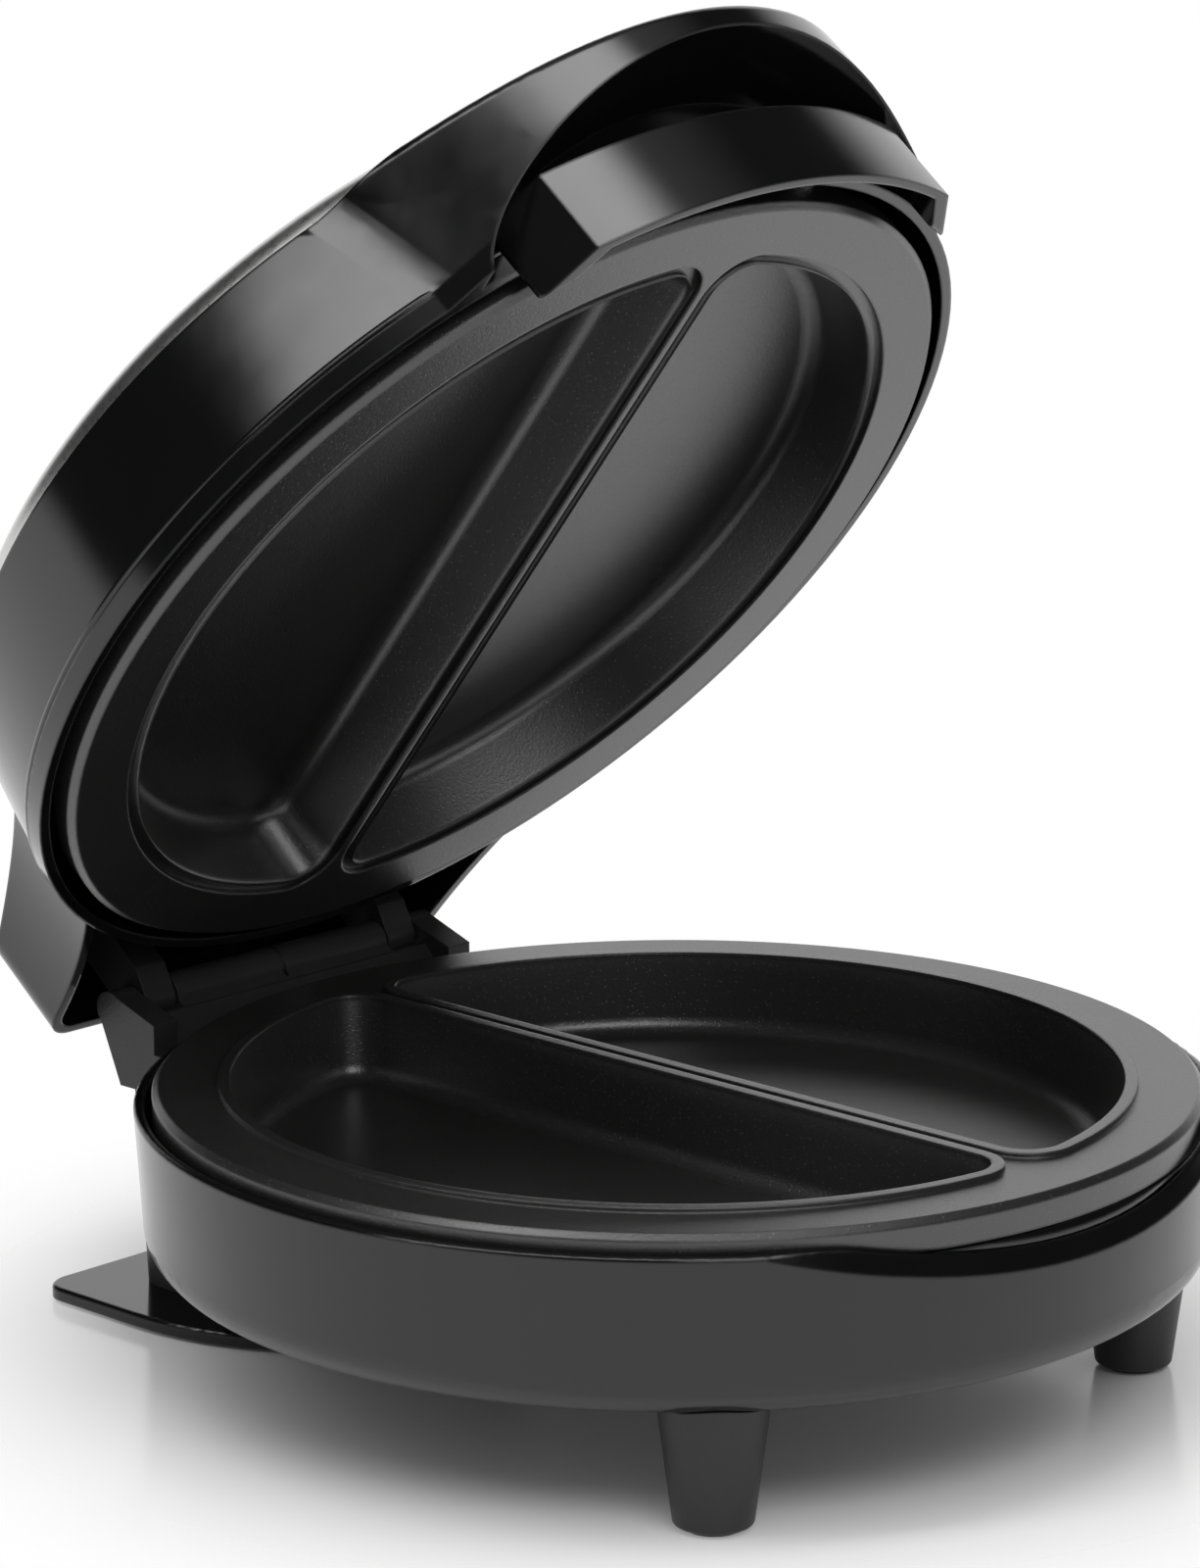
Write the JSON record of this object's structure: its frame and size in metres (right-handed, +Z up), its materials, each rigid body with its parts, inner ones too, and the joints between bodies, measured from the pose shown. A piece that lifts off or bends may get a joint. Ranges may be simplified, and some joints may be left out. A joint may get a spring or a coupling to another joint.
{
  "type": "electric omelette maker",
  "caption": "Round countertop omelette cooker with half-moon non-stick plates, a hinged hooded lid, two front feet and a hinge stand on a rear foot plate.",
  "frame": {"origin": "on the table, under the middle of the whole cooker with its lid at rest, 17.7 mm behind the axis of the round body", "axes": "+Z up, -Y towards the handle at the front, +Y towards the hinge, +X to the right seen from the front; lid at rest open"},
  "size_m": [0.2066, 0.2372, 0.2559],
  "materials": {
    "gloss_black": "glossy moulded",
    "satin_black": "satin moulded",
    "nonstick_cast": "cast with dark non-stick coating",
    "brushed_steel": "brushed",
    "zinc_steel": "zinc plated",
    "element_sheath": "heat-darkened sheath",
    "shield_sheet": "bright sheet",
    "heatproof_white": "heat-proof moulding",
    "pad_rubber": "matt",
    "wire_sleeve": "woven silicone sleeve",
    "lens_red": "tinted clear",
    "lens_green": "tinted clear",
    "lamp_glass": "clear"
  },
  "bodies": {
    "base": {"base_shell": "gloss_black", "bottom_cover": "satin_black", "cover_screws": "zinc_steel", "hinge_stand": "satin_black", "hinge_harness": "wire_sleeve", "hinge_pin_left": "zinc_steel", "hinge_pin_right": "zinc_steel", "rear_foot_plate": "gloss_black", "stand_screws": "zinc_steel", "front_foot_left": "satin_black", "front_foot_right": "satin_black", "foot_pads": "pad_rubber", "cord_gland": "pad_rubber", "terminal_block": "heatproof_white", "lower_plate": "nonstick_cast", "lower_heating_element": "element_sheath", "lower_heat_shield": "shield_sheet", "lower_plate_screws": "zinc_steel", "lower_thermostat": "heatproof_white", "thermal_fuse": "zinc_steel", "base_wiring": "wire_sleeve"},
    "lid": {"lid_shell": "gloss_black", "lid_top_panel": "brushed_steel", "handle_lip": "gloss_black", "handle_screws": "zinc_steel", "lid_hinge_bracket": "satin_black", "bracket_screws": "zinc_steel", "upper_plate": "nonstick_cast", "upper_heating_element": "element_sheath", "upper_heat_shield": "shield_sheet", "upper_plate_screws": "zinc_steel", "upper_thermostat": "heatproof_white", "lid_wiring": "wire_sleeve", "power_lamp_lens": "lens_red", "ready_lamp_lens": "lens_green", "lamp_holder": "heatproof_white", "neon_lamps": "lamp_glass"}
  },
  "joints": [
    {"name": "lid_hinge", "type": "hinge", "parent": "base", "child": "lid", "pos_m": [0, 0.0933, 0.05715], "axis": [-1, 0, 0], "range_deg": [-51.5, 48.5]}
  ]
}
